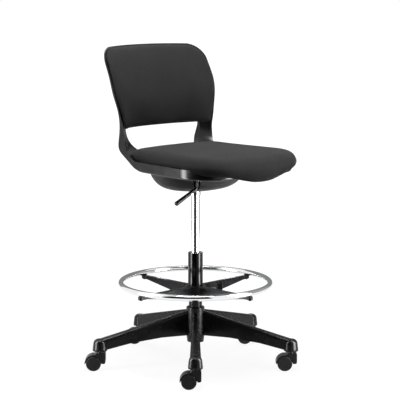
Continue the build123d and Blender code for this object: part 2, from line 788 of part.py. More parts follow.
channel_height = plate_bottom - channel_bottom
with BuildPart() as mechanism_channel:
    with BuildSketch(across(LEVER_HEADING, -CHANNEL_REAR, channel_bottom)):
        Rectangle(CHANNEL_WIDTH, channel_height, align=(Align.CENTER, Align.MIN))
        with Locations((0, CHANNEL_WALL)):
            Rectangle(
                CHANNEL_WIDTH - 2 * CHANNEL_WALL,
                channel_height,
                align=(Align.CENTER, Align.MIN),
                mode=Mode.SUBTRACT,
            )
    extrude(amount=CHANNEL_REAR + CHANNEL_FRONT)
    with BuildSketch(Plane.XY.offset(channel_bottom)):
        Circle(SOCKET_RADIUS)
    extrude(amount=CHANNEL_WALL, mode=Mode.SUBTRACT)
    with BuildSketch(across(LEVER_HEADING + 90, -CHANNEL_WIDTH / 2, lever_z)):
        with Locations((-LEVER_PIVOT, 0)):
            Circle(LEVER_PIN)
    extrude(amount=CHANNEL_WIDTH, mode=Mode.SUBTRACT)
write(mechanism_channel.part, "mechanism_channel")

with BuildPart() as lever_pin:
    with BuildSketch(across(LEVER_HEADING + 90, -CHANNEL_WIDTH / 2, lever_z)):
        with Locations((-LEVER_PIVOT, 0)):
            Circle(LEVER_PIN)
    extrude(amount=CHANNEL_WIDTH)
write(lever_pin.part, "lever_pin")

nut_top = SEAT_FLOOR + SHELL_WALL + GAP + BOARD
with BuildPart() as seat_bolts:
    with BuildSketch(Plane.XY.offset(plate_bottom)):
        with Locations(*bolt_spots):
            RegularPolygon(BOLT_HEAD, 6)
    extrude(amount=-BOLT_HEAD_HEIGHT)
    with BuildSketch(Plane.XY.offset(plate_bottom)):
        with Locations(*bolt_spots):
            Circle(BOLT_RADIUS)
    extrude(amount=nut_top - GAP - plate_bottom)
write(seat_bolts.part, "seat_bolts")

with BuildPart() as tee_nuts:
    with BuildSketch(Plane.XY.offset(nut_top)):
        with Locations(*bolt_spots):
            Circle(NUT_RADIUS)
            Circle(BOLT_RADIUS, mode=Mode.SUBTRACT)
    extrude(amount=-BOARD)
write(tee_nuts.part, "tee_nuts")

# Height lever: a bent rod with a moulded grip
grip_ahead = Vector(
    cos(radians(GRIP_SLOPE)) * cos(radians(GRIP_HEADING)),
    cos(radians(GRIP_SLOPE)) * sin(radians(GRIP_HEADING)),
    -sin(radians(GRIP_SLOPE)),
)
elbow_low = along(LEVER_HEADING, LEVER_ELBOW, lever_z - LEVER_DROP)
grip_start = elbow_low + grip_ahead * GRIP_START
with BuildPart() as lever_rod:
    with BuildLine():
        FilletPolyline(
            along(LEVER_HEADING, -LEVER_TAIL, lever_z),
            along(LEVER_HEADING, LEVER_ELBOW, lever_z),
            elbow_low,
            grip_start + grip_ahead * GRIP_SOCKET,
            radius=LEVER_BEND,
        )
    with BuildSketch(across(LEVER_HEADING, -LEVER_TAIL, lever_z)):
        Circle(LEVER_ROD)
    sweep()
    with BuildSketch(across(LEVER_HEADING + 90, -LEVER_HUB_WIDTH / 2, lever_z)):
        with Locations((-LEVER_PIVOT, 0)):
            Circle(LEVER_HUB)
    extrude(amount=LEVER_HUB_WIDTH)
    with BuildSketch(across(LEVER_HEADING + 90, -LEVER_HUB_WIDTH / 2, lever_z)):
        with Locations((-LEVER_PIVOT, 0)):
            Circle(LEVER_PIN + RUNNING)
    extrude(amount=LEVER_HUB_WIDTH, mode=Mode.SUBTRACT)
write(lever_rod.part, "lever_rod")

with BuildPart() as lever_handle:
    with BuildSketch(Plane(grip_start, z_dir=grip_ahead)):
        Circle(GRIP_ROOT)
    with BuildSketch(Plane(grip_start + grip_ahead * GRIP_LENGTH, z_dir=grip_ahead)):
        Circle(GRIP_END)
    loft()
    grip_axis = Axis(grip_start, grip_ahead)
    fillet(lever_handle.faces().sort_by(grip_axis)[-1].edges(), GRIP_ROUND)
    with BuildSketch(Plane(grip_start, z_dir=grip_ahead)):
        Circle(LEVER_ROD)
    extrude(amount=GRIP_SOCKET, mode=Mode.SUBTRACT)
write(lever_handle.part, "lever_handle")

# Moulded shell of seat and back
def plan_hollow(x, level, less=0.0):
    """How far a level's surface stands behind its side edges at a distance from the middle."""
    depth, half, power = level
    return (depth - less) * (1 - min(abs(x) / half, 1.1) ** power)


def edge_points(edge, x, shift=0.0, less=0.0):
    """Points of an edge path moved to a station, shifted forward and with less hollow."""
    return [
        (y - shift + plan_hollow(x, level, less), SEAT_FLOOR + height) for y, height, level in edge
    ]


def seat_outline(front, corner, grow):
    """Plan outline of the seat up to the waist."""
    half_front = SEAT_FRONT_WIDTH / 2 + grow
    half_rear = rear_half + grow
    half_waist = waist_half + grow
    right = [
        (half_front, SEAT_FRONT_BOW - front),
        (half_rear, SEAT_REAR),
        (half_waist, WAIST_Y),
        (half_waist, 2 * WAIST_Y),
    ]
    left = [(-x, y) for x, y in reversed(right)]
    with BuildSketch() as outline:
        with BuildLine():
            Polyline((0, -front), *right, *left, close=True)
        make_face()
        by_depth = outline.vertices().sort_by(Axis.Y)
        fillet(by_depth[1:3], corner)
        fillet(outline.vertices().sort_by_distance((0, -front))[0], SEAT_FRONT_ROUND)
        sides = [v for v in outline.vertices() if SEAT_SPRING < v.Y < 1.5 * WAIST_Y]
        fillet(sides, WAIST_ROUND)
    return outline.sketch


def back_outline(grow):
    """Outline of the back seen from the front, from the waist up."""
    half_top = top_half + grow
    half_back = back_half + grow
    half_waist = waist_half + grow
    top = back_top + grow
    right = [(half_waist, join_z), (half_waist, waist_z), (half_back, widest_z), (half_top, top)]
    left = [(-x, z) for x, z in reversed(right)]
    with BuildSketch() as outline:
        with BuildLine():
            Polyline(*left, *right)
            ThreePointArc(right[-1], (0, top + BACK_CROWN), left[0])
        make_face()
        fillet(outline.vertices().group_by(Axis.Y)[-1], BACK_CORNER + grow)
        fillet([v for v in outline.vertices() if abs(v.Y - widest_z) < 1], BACK_SIDE_ROUND)
        fillet([v for v in outline.vertices() if abs(v.Y - waist_z) < 1], BACK_WAIST_ROUND)
    return outline.sketch


def shell_section(x):
    """Upright section of the shell at a station, from the seat's front to the back's top."""
    inner = edge_points(INNER_EDGE, x)
    outer = edge_points(OUTER_EDGE, x)
    front = -2 * SEAT_FRONT
    with BuildSketch(Plane.YZ.offset(x)) as section:
        with BuildLine():
            rim = Line((front, seat_rim), (SEAT_SPRING, seat_rim))
            rise = Spline(rim @ 1, *inner, tangents=[(1, 0), (0.5, 1)])
            floor = Line((front, SEAT_FLOOR), (SEAT_SPRING, SEAT_FLOOR))
            wrap = Spline(floor @ 1, *outer, tangents=[(1, 0), (0.5, 1)])
            Line(rim @ 0, floor @ 0)
            Line(rise @ 1, wrap @ 1)
        make_face()
    return section.sketch


def over_underside(x):
    """Section of everything above the shell's underside at a station, a gap lower."""
    front = -2 * SEAT_FRONT
    low = SEAT_FLOOR - GAP
    wrap_points = [(y, z - GAP) for y, z in edge_points(OUTER_EDGE, x)]
    with BuildSketch(Plane.YZ.offset(x)) as section:
        with BuildLine():
            floor = Line((front, low), (SEAT_SPRING, low))
            wrap = Spline(floor @ 1, *wrap_points, tangents=[(1, 0), (0.5, 1)])
            Polyline(wrap @ 1, (front, wrap_points[-1][1]), floor @ 0)
        make_face()
    return section.sketch


def bowl(inset):
    """Bowl of the under-seat cover with its upright skirt, drawn in by an inset."""
    with BuildPart() as solid:
        for depth, half_width, half_length in COVER_LEVELS:
            with BuildSketch(Plane((0, COVER_Y, SEAT_FLOOR - depth + inset))):
                Ellipse(half_width - inset, half_length - inset)
        loft()
        extrude(solid.faces().sort_by(Axis.Z)[-1], amount=COVER_SKIRT)
    return solid.part


# Cover under the seat: an oval bowl with a notch for the lever and three screw bosses
cover_low = SEAT_FLOOR - COVER_LEVELS[0][0]
with BuildPart() as underseat_cover:
    add(bowl(0))
    add(bowl(COVER_WALL), mode=Mode.SUBTRACT)
    with BuildSketch(Plane.XY.offset(plate_bottom)):
        with Locations(*screw_spots):
            Circle(SCREW_BOSS)
    extrude(amount=cover_low - plate_bottom)
    add(bowl(0), mode=Mode.INTERSECT)
    with BuildSketch(Plane.XY.offset(cover_low)):
        Circle(SOCKET_RADIUS + COVER_HOLE_GAP)
        with Locations(*screw_spots):
            Circle(SCREW_RADIUS)
    extrude(amount=plate_bottom - cover_low, mode=Mode.SUBTRACT)
    with BuildSketch(Plane.XY.offset(cover_low)):
        with Locations(*screw_spots):
            Circle(SCREW_HEAD + GAP)
    extrude(amount=screw_sink - cover_low, mode=Mode.SUBTRACT)
    with BuildSketch(across(LEVER_HEADING, NOTCH_START)):
        with BuildLine():
            Polyline(
                (-NOTCH_TOP / 2, SEAT_FLOOR),
                (-NOTCH_BOTTOM / 2, notch_low),
                (NOTCH_BOTTOM / 2, notch_low),
                (NOTCH_TOP / 2, SEAT_FLOOR),
                close=True,
            )
        make_face()
    extrude(amount=LEVER_ELBOW, mode=Mode.SUBTRACT)
    with BuildPart(mode=Mode.PRIVATE) as seat_space:
        for x in STATIONS:
            add(over_underside(x))
        loft()
    add(seat_space.part, mode=Mode.SUBTRACT)
write(underseat_cover.part, "underseat_cover")

with BuildPart() as cover_screws:
    with BuildSketch(Plane.XY.offset(screw_sink)):
        with Locations(*screw_spots):
            Circle(SCREW_HEAD)
    extrude(amount=-SCREW_HEAD_HEIGHT)
    with BuildSketch(Plane.XY.offset(screw_sink)):
        with Locations(*screw_spots):
            Circle(SCREW_RADIUS)
    extrude(amount=SEAT_FLOOR - GAP - screw_sink)
write(cover_screws.part, "cover_screws")


def above_rim(lift, rear):
    """Everything above the rim line and its dip at the front, from a rear limit forward."""
    front = -2 * SEAT_FRONT
    level = seat_rim + lift
    lip = (SEAT_PAD_TUCK - pad_front, pad_lip + lift)
    with BuildPart() as solid:
        with BuildSketch(Plane.YZ.offset(-SEAT_FRONT_WIDTH)):
            with BuildLine():
                rim = Line((rear, level), (-RIM_DIP_START, level))
                Spline(rim @ 1, (-SEAT_FRONT, level - RIM_DIP), lip, tangents=[(-1, 0), (-0.4, -1)])
                Polyline(lip, (front, pad_lip), (front, 2 * level), (rear, 2 * level), (rear, level))
            make_face()
        extrude(amount=2 * SEAT_FRONT_WIDTH)
    return solid.part


def tray_space(bottom, inset):
    """Space inside the seat's tray above a bottom height, drawn in by an inset."""
    with BuildPart() as solid:
        with BuildSketch(Plane.YZ.offset(-SEAT_FRONT_WIDTH)):
            with BuildLine():
                Polyline(
                    (-2 * SEAT_FRONT, bottom),
                    (TRAY_BEND - inset, bottom),
                    (TRAY_REAR - inset, bottom + TRAY_RISE),
                    (TRAY_REAR - inset, seat_rim + RIM_LAP),
                    (-2 * SEAT_FRONT, seat_rim + RIM_LAP),
                    close=True,
                )
            make_face()
        extrude(amount=2 * SEAT_FRONT_WIDTH)
        with BuildPart(mode=Mode.PRIVATE) as walls:
            add(seat_outline(SEAT_FRONT - SHELL_WALL - inset, SEAT_CORNER, -SHELL_WALL - inset))
            extrude(amount=2 * seat_rim)
        add(walls.part, mode=Mode.INTERSECT)
    return solid.part


tray_floor = SEAT_FLOOR + SHELL_WALL
with BuildPart() as seat_back_shell:
    for x in STATIONS:
        add(shell_section(x))
    loft()
    with BuildPart(mode=Mode.PRIVATE) as hull:
        add(seat_outline(SEAT_FRONT, SEAT_CORNER, 0))
        extrude(amount=join_z)
        with BuildSketch(Plane.XZ.offset(-SEAT_FRONT)):
            add(back_outline(0))
        extrude(amount=2 * SEAT_FRONT)
    add(hull.part, mode=Mode.INTERSECT)
    with BuildSketch(Plane.XZ) as window:
        with BuildLine():
            Polyline(
                (-WINDOW_TOP_WIDTH / 2, window_top),
                (-WINDOW_BOTTOM_WIDTH / 2, window_bottom),
                (WINDOW_BOTTOM_WIDTH / 2, window_bottom),
                (WINDOW_TOP_WIDTH / 2, window_top),
                close=True,
            )
        make_face()
        fillet(window.vertices().group_by(Axis.Y)[0], WINDOW_ROUND)
        fillet(window.vertices().group_by(Axis.Y)[-1], WINDOW_TOP_ROUND)
    extrude(amount=-SEAT_FRONT, mode=Mode.SUBTRACT)
    add(above_rim(0, 0), mode=Mode.SUBTRACT)
    add(tray_space(tray_floor, 0), mode=Mode.SUBTRACT)
    underside, _, wrap = seat_back_shell.faces().sort_by(SortBy.AREA)[-3:]
    outside = wrap.edges() + underside.edges()
    fillet([e for e in outside if e.bounding_box().size.X < SEAT_REAR_WIDTH], SHELL_EDGE)
    with BuildSketch(Plane.XY.offset(SEAT_FLOOR)):
        with Locations(*bolt_spots):
            Circle(BOLT_RADIUS)
    extrude(amount=SHELL_WALL, mode=Mode.SUBTRACT)
write(seat_back_shell.part, "seat_back_shell")

# Seat cushion on its board
board_bottom = tray_floor + GAP
with BuildPart() as seat_board:
    with BuildSketch(Plane.XY.offset(board_bottom)):
        add(seat_outline(SEAT_FRONT - BOARD_INSET, SEAT_CORNER, -BOARD_INSET))
    extrude(amount=BOARD)
    split(bisect_by=Plane.XZ.offset(-TRAY_BEND), keep=Keep.TOP)
    with BuildSketch(Plane.XY.offset(board_bottom)):
        with Locations(*bolt_spots):
            Circle(NUT_RADIUS)
    extrude(amount=BOARD, mode=Mode.SUBTRACT)
write(seat_board.part, "seat_board")


def over_seat(x):
    """Section of everything above chords of the seat's inside at a station, a clearance higher."""
    front = -2 * SEAT_FRONT
    rise = [(y, z + SEAT_PAD_CLEAR) for y, z in edge_points(INNER_EDGE[1 : BACK_FROM + 1], x)]
    with BuildSketch(Plane.YZ.offset(x)) as section:
        with BuildLine():
            Polyline(
                (front, pad_lip - RIM_DIP),
                (-RIM_DIP_START, pad_lip - RIM_DIP),
                (0, seat_rim - SEAT_PAD_HEEL),
                *rise,
                (front, rise[-1][1]),
                close=True,
            )
        make_face()
    return section.sketch


def cushion_outline():
    """Plan outline of the seat cushion where it is widest, with a bowed rear edge."""
    half_front = SEAT_FRONT_WIDTH / 2 - SEAT_PAD_INSET
    half_rear = rear_half - SEAT_PAD_REAR_INSET
    shoulder = SEAT_PAD_FRONT_BOW - pad_front
    with BuildSketch() as outline:
        with BuildLine():
            Polyline(
                (-half_rear, SEAT_PAD_REAR),
                (-half_front, shoulder),
                (0, -pad_front),
                (half_front, shoulder),
                (half_rear, SEAT_PAD_REAR),
            )
            ThreePointArc(
                (-half_rear, SEAT_PAD_REAR),
                (0, SEAT_PAD_REAR + SEAT_PAD_REAR_BOW),
                (half_rear, SEAT_PAD_REAR),
            )
        make_face()
        fillet(outline.vertices().group_by(Axis.Y)[-1], SEAT_PAD_REAR_CORNER)
        fillet(outline.vertices().sort_by(Axis.Y)[1:3], SEAT_PAD_CORNER)
        fillet(outline.vertices().sort_by(Axis.Y)[0], SEAT_FRONT_ROUND)
    return outline.sketch


def cushion_section(x):
    """Section under the seat cushion's crowned top, which falls away at the front."""
    top = pad_top + SEAT_PAD_CROWN * (1 - (2 * x / SEAT_FRONT_WIDTH) ** 2)
    rear = 2 * SEAT_PAD_REAR
    nose = (-pad_front, top - SEAT_PAD_FALL)
    knee = ((-SEAT_PAD_BEND - 2 * pad_front) / 3, top - SEAT_PAD_FALL / 3)
    with BuildSketch(Plane.YZ.offset(x)) as section:
        with BuildLine():
            level = Line((rear, top), (-SEAT_PAD_BEND, top))
            Spline(level @ 1, knee, nose, tangents=[(-1, 0), (-1, -1.3)])
            Polyline(nose, (-pad_front, SEAT_FLOOR - RIM_DIP), (rear, SEAT_FLOOR - RIM_DIP), level @ 0)
        make_face()
    return section.sketch


with BuildPart() as seat_cushion:
    for x in (-SEAT_FRONT_WIDTH / 2, 0, SEAT_FRONT_WIDTH / 2):
        add(cushion_section(x))
    loft()
    with BuildPart(mode=Mode.PRIVATE) as block:
        widest = cushion_outline().moved(Location((0, 0, pad_widest)))
        tuck = pad_widest - pad_lip
        add(widest)
        extrude(amount=seat_rim)
        add(widest)
        extrude(amount=-tuck, taper=degrees(atan2(SEAT_PAD_TUCK, tuck)))
    add(block.part, mode=Mode.INTERSECT)
    add(above_rim(GAP, 2 * SEAT_PAD_REAR), mode=Mode.INTERSECT)
    tops = [f for f in seat_cushion.faces() if f.normal_at().Z > 0.5]
    crease = [e for f in tops for e in f.edges() if e.bounding_box().size.Y > GAP]
    fillet(crease, SEAT_PAD_EDGE)
    with BuildPart(mode=Mode.PRIVATE) as over_shell:
        for x in STATIONS:
            add(over_seat(x))
        loft()
    add(over_shell.part, mode=Mode.INTERSECT)
    add(tray_space(board_bottom + BOARD + GAP, GAP))
write(seat_cushion.part, "seat_cushion")


# Back cushion on its board
def back_section(x, front_shift, rear_shift, crown):
    """Section of a layer on the front of the back, between two shifts from the shell's surface."""
    front = edge_points(INNER_EDGE[BACK_FROM:], x, front_shift, crown)
    rear = edge_points(INNER_EDGE[BACK_FROM:], x, rear_shift)
    with BuildSketch(Plane.YZ.offset(x)) as section:
        with BuildLine():
            face = Spline(*front)
            seat = Spline(*rear)
            Line(face @ 0, seat @ 0)
            Line(face @ 1, seat @ 1)
        make_face()
    return section.sketch


def back_layer(front_shift, rear_shift, inset, bottom, crown=0.0):
    """Layer on the front of the back within an inset outline above an arched bottom edge."""
    with BuildPart() as solid:
        for x in STATIONS:
            add(back_section(x, front_shift, rear_shift, crown))
        loft()
        with BuildPart(mode=Mode.PRIVATE) as within:
            with BuildSketch(Plane.XZ) as outline:
                add(back_outline(-inset))
                with BuildSketch(mode=Mode.PRIVATE) as above:
                    with BuildLine():
                        arch = ThreePointArc(
                            (-BACK_WIDTH / 2, bottom),
                            (0, bottom + BACK_PAD_ARCH),
                            (BACK_WIDTH / 2, bottom),
                        )
                        Polyline(
                            arch @ 1,
                            (BACK_WIDTH / 2, 2 * back_top),
                            (-BACK_WIDTH / 2, 2 * back_top),
                            arch @ 0,
                        )
                    make_face()
                add(above.sketch, mode=Mode.INTERSECT)
                fillet(outline.vertices().group_by(Axis.Y)[0], BACK_PAD_LOW_CORNER)
            extrude(amount=-SEAT_FRONT)
        add(within.part, mode=Mode.INTERSECT)
    return solid.part


board_shift = BACK_PAD_GAP + BACK_BOARD
board_low = back_pad_bottom + BACK_BOARD_INSET
back_board = back_layer(board_shift, BACK_PAD_GAP, BACK_BOARD_INSET, board_low)
write(back_board, "back_board")

with BuildPart() as back_cushion:
    add(back_layer(BACK_PAD_SIDE, BACK_PAD_GAP, BACK_PAD_INSET, back_pad_bottom, BACK_PAD_CROWN))
    face = back_cushion.faces().sort_by(SortBy.AREA)[-2:].sort_by(Axis.Y)[0]
    fillet(face.edges(), BACK_PAD_EDGE)
    recess = back_layer(board_shift + GAP, 0, BACK_BOARD_INSET - GAP, board_low - GAP)
    add(recess, mode=Mode.SUBTRACT)
write(back_cushion.part, "back_cushion")
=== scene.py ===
import json
import logging
import math
from dataclasses import dataclass, field
from enum import Enum
from typing import Any

import bmesh
import bpy
import numpy as np
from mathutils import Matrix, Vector
from mathutils.bvhtree import BVHTree


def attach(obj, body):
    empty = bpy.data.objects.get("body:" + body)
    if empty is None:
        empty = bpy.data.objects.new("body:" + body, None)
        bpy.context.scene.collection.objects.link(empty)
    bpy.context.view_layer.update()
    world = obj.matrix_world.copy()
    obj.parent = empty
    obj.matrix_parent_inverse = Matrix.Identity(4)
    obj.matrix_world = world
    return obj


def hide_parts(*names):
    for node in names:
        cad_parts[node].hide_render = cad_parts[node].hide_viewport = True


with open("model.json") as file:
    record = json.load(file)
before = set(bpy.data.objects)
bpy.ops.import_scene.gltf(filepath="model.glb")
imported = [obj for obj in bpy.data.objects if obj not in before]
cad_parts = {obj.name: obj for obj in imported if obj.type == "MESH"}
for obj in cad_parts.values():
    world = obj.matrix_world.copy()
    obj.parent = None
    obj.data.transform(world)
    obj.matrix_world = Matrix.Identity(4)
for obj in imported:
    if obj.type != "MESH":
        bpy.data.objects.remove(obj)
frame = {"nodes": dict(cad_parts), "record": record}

# Drafting chair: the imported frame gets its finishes, and the two cushions become soft pieces.
# Lengths are metres, +Z is up and the sitter faces -Y.

LOG = logging.getLogger("drafting_chair")
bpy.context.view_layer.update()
MERGE = 1e-5
Colour = tuple[float, float, float]


class Ray(Enum):
    """Rays to which the floor and the surround are plain white."""

    CAMERA = "Is Camera Ray"
    GLOSSY = "Is Glossy Ray"
    TRANSMISSION = "Is Transmission Ray"


class Graph:
    """Node tree with short calls for adding and linking nodes."""

    def __init__(self, tree: bpy.types.NodeTree) -> None:
        """Hold the tree that the calls work on.

        Args:
            tree: Node tree of a material or a world.
        """
        self.tree = tree

    def put(self, node: bpy.types.Node, sockets: dict[str | int, Any]) -> None:
        """Set or link a node's input sockets.

        Args:
            node: Node whose inputs are set.
            sockets: Values by socket name or number; an output socket is linked.
        """
        for key, value in sockets.items():
            if isinstance(value, bpy.types.NodeSocket):
                self.tree.links.new(value, node.inputs[key])
            else:
                node.inputs[key].default_value = value

    def add(self, kind: str, sockets: dict[str | int, Any], **settings: Any) -> bpy.types.Node:
        """Add a node.

        Args:
            kind: Blender's name of the node type, without its common prefix.
            sockets: Input values or links.
            **settings: Properties of the node itself.

        Returns:
            The new node.
        """
        node = self.tree.nodes.new("ShaderNode" + kind)
        for key, value in settings.items():
            setattr(node, key, value)
        self.put(node, sockets)
        return node

    def maths(self, operation: str, *values: Any) -> bpy.types.NodeSocket:
        """Add a Math node.

        Args:
            operation: Blender's name of the operation.
            *values: Its inputs in order, as values or links.

        Returns:
            The result.
        """
        return self.add("Math", dict(enumerate(values)), operation=operation).outputs[0]

    def seen_white(self) -> bpy.types.NodeSocket:
        """Share that is 1 for rays from the camera, off a gloss or through glass, and else 0.

        Returns:
            The share.
        """
        path = self.add("LightPath", {})
        share = path.outputs[Ray.CAMERA.value]
        for ray in (Ray.GLOSSY, Ray.TRANSMISSION):
            share = self.maths("MAXIMUM", share, path.outputs[ray.value])
        return share


class Surface(Graph):
    """Material with one principled shader, and patterns in object space to drive it."""

    def __init__(self, name: str) -> None:
        """Start the material.

        Args:
            name: Name of the material.
        """
        self.material = bpy.data.materials.new(name)
        self.material.use_nodes = True
        super().__init__(self.material.node_tree)
        self.shader = self.tree.nodes["Principled BSDF"]
        self.place = self.add("TexCoord", {}).outputs["Object"]

    def noise(self, size: float, detail: float = 2.0) -> bpy.types.NodeSocket:
        """Cloudy pattern in object space.

        Args:
            size: Width of one cloud in metres.
            detail: Octaves of finer clouds.

        Returns:
            A value from 0 to 1.
        """
        sockets = {"Vector": self.place, "Scale": 1.0 / size, "Detail": detail}
        return self.add("TexNoise", sockets).outputs["Fac"]

    def spread(self, value: bpy.types.NodeSocket, low: float, high: float) -> bpy.types.NodeSocket:
        """Stretch the middle half of a 0 to 1 value over a range.

        Args:
            value: Value from 0 to 1.
            low: Result at a quarter.
            high: Result at three quarters.

        Returns:
            The stretched value.
        """
        sockets = {"Value": value, "From Min": 0.25, "From Max": 0.75, "To Min": low, "To Max": high}
        return self.add("MapRange", sockets).outputs["Result"]

    def tint(self, share: bpy.types.NodeSocket, first: Colour, second: Colour) -> bpy.types.NodeSocket:
        """Mix two colours by a share.

        Args:
            share: Share of the second colour.
            first: First colour.
            second: Second colour.

        Returns:
            The mixed colour.
        """
        node = self.add("Mix", {0: share}, data_type="RGBA")
        node.inputs[6].default_value = (*first, 1.0)
        node.inputs[7].default_value = (*second, 1.0)
        return node.outputs[2]

    def bump(self, height: bpy.types.NodeSocket, depth: float, strength: float) -> None:
        """Drive the shader's normal from a height.

        Args:
            height: Height from 0 to 1.
            depth: Real depth in metres.
            strength: Share of the effect.
        """
        sockets = {"Height": height, "Distance": depth, "Strength": strength}
        self.put(self.shader, {"Normal": self.add("Bump", sockets).outputs["Normal"]})


def scaled(colour: Colour, factor: float) -> Colour:
    """A colour made lighter or darker by a factor.

    Args:
        colour: Colour in linear light.
        factor: Factor on each channel.

    Returns:
        The new colour.
    """
    return tuple(factor * channel for channel in colour)


@dataclass(frozen=True)
class Cloth:
    """Woven upholstery cloth: crossing threads, slubs and a soft sheen."""

    name: str
    colour: Colour
    thread: float = 0.0013
    contrast: float = 0.3
    sheen: float = 0.03
    roughness: float = 0.88
    specular: float = 0.05
    cloud: float = 0.09
    depth: float = 0.0004
    strength: float = 0.35

    def make(self) -> bpy.types.Material:
        """Cloth whose threads cross in all three directions, so that every face shows a weave.

        The weave is sin(x)sin(y) + sin(y)sin(z) + sin(z)sin(x), with one period for each thread. Slubs
        four threads wide raise it, and broad clouds shift its tone.

        Returns:
            The material.
        """
        graph = Surface(self.name)
        split = graph.add("SeparateXYZ", {0: graph.place})
        pitch = 2 * math.pi / self.thread
        waves = [graph.maths("SINE", graph.maths("MULTIPLY", axis, pitch)) for axis in split.outputs]
        pairs = [graph.maths("MULTIPLY", waves[i], waves[(i + 1) % 3]) for i in range(3)]
        crossing = graph.maths("ADD", graph.maths("ADD", pairs[0], pairs[1]), pairs[2])
        weave = graph.maths("MULTIPLY_ADD", crossing, 0.25, 0.4)
        slub = graph.noise(4 * self.thread, 3.0)
        height = graph.maths("ADD", weave, graph.maths("MULTIPLY", slub, 0.5))
        light = graph.maths("MULTIPLY", weave, graph.spread(slub, 0.3, 1.0))
        share = graph.maths("ADD", light, graph.spread(graph.noise(self.cloud), -0.12, 0.12))
        dark = scaled(self.colour, 1 - self.contrast)
        pale = scaled(self.colour, 1 + self.contrast)
        tone = graph.tint(share, dark, pale)
        graph.put(graph.shader, {"Base Color": tone, "Roughness": self.roughness})
        graph.put(graph.shader, {"Sheen Weight": self.sheen, "Sheen Roughness": 0.45})
        graph.put(graph.shader, {"Specular IOR Level": self.specular})
        graph.bump(height, self.depth, self.strength)
        return graph.material


@dataclass(frozen=True)
class Moulded:
    """Moulded plastic or rubber with a fine eroded grain."""

    name: str
    colour: Colour
    roughness: float
    grain: float = 0.0007
    depth: float = 0.00006
    strength: float = 0.35
    specular: float = 0.5
    cloud: float = 0.11
    contrast: float = 0.12
    patch: float = 0.03
    drift: float = 0.05

    def make(self) -> bpy.types.Material:
        """Grain of small clouds, with slow drifts of tone and gloss.

        Returns:
            The material.
        """
        graph = Surface(self.name)
        dark = scaled(self.colour, 1 - self.contrast)
        pale = scaled(self.colour, 1 + self.contrast)
        low, high = self.roughness - self.drift, self.roughness + self.drift
        tone = graph.tint(graph.spread(graph.noise(self.cloud), 0.0, 1.0), dark, pale)
        gloss = graph.spread(graph.noise(self.patch), low, high)
        graph.put(graph.shader, {"Base Color": tone, "Roughness": gloss})
        graph.put(graph.shader, {"Specular IOR Level": self.specular})
        graph.bump(graph.noise(self.grain), self.depth, self.strength)
        return graph.material


@dataclass(frozen=True)
class Plated:
    """Bright metal: plated, turned or bare."""

    name: str
    colour: Colour
    roughness: float
    drift: float = 0.01
    grain: float = 0.004
    depth: float = 0.00001
    strength: float = 0.02
    cloud: float = 0.05
    patch: float = 0.04

    def make(self) -> bpy.types.Material:
        """Metal whose gloss drifts a little, over a faint polishing grain.

        Returns:
            The material.
        """
        graph = Surface(self.name)
        low, high = self.roughness - self.drift, self.roughness + self.drift
        tone = graph.tint(graph.noise(self.cloud), self.colour, scaled(self.colour, 0.94))
        gloss = graph.spread(graph.noise(self.patch, 4.0), low, high)
        graph.put(graph.shader, {"Base Color": tone, "Roughness": gloss, "Metallic": 1.0})
        graph.bump(graph.noise(self.grain, 3.0), self.depth, self.strength)
        return graph.material


@dataclass(frozen=True)
class Enamel:
    """Gloss paint on steel, with a faint orange peel."""

    name: str
    colour: Colour
    roughness: float
    specular: float
    drift: float = 0.03
    cloud: float = 0.06
    patch: float = 0.02
    peel: float = 0.003
    depth: float = 0.00002
    strength: float = 0.2

    def make(self) -> bpy.types.Material:
        """Paint with a shallow rolling surface.

        Returns:
            The material.
        """
        graph = Surface(self.name)
        low, high = self.roughness - self.drift, self.roughness + self.drift
        tone = graph.tint(graph.noise(self.cloud), self.colour, scaled(self.colour, 1.3))
        gloss = graph.spread(graph.noise(self.patch), low, high)
        graph.put(graph.shader, {"Base Color": tone, "Roughness": gloss})
        graph.put(graph.shader, {"Specular IOR Level": self.specular})
        graph.bump(graph.noise(self.peel), self.depth, self.strength)
        return graph.material


@dataclass(frozen=True)
class Plywood:
    """Pressed plywood: long grain on the faces and thin plies at the edges."""

    name: str
    colour: Colour
    ply: float = 0.0014
    grain: tuple[float, float, float] = (160.0, 12.0, 160.0)
    roughness: float = 0.65
    depth: float = 0.0001
    strength: float = 0.3

    def make(self) -> bpy.types.Material:
        """Grain stretched along Y, plus a sine of the height that turns from light to dark at each ply.

        Returns:
            The material.
        """
        graph = Surface(self.name)
        stretched = graph.add("Mapping", {"Vector": graph.place, "Scale": self.grain})
        grain = graph.add("TexNoise", {"Vector": stretched.outputs[0], "Scale": 1.0, "Detail": 5.0})
        height = graph.add("SeparateXYZ", {0: graph.place}).outputs[2]
        plies = graph.maths("SINE", graph.maths("MULTIPLY", height, math.pi / self.ply))
        share = graph.maths("ADD", grain.outputs["Fac"], graph.maths("MULTIPLY", plies, 0.2))
        tone = graph.tint(share, scaled(self.colour, 0.7), scaled(self.colour, 1.15))
        graph.put(graph.shader, {"Base Color": tone, "Roughness": self.roughness})
        graph.bump(grain.outputs["Fac"], self.depth, self.strength)
        return graph.material


Finish = Cloth | Moulded | Plated | Enamel | Plywood

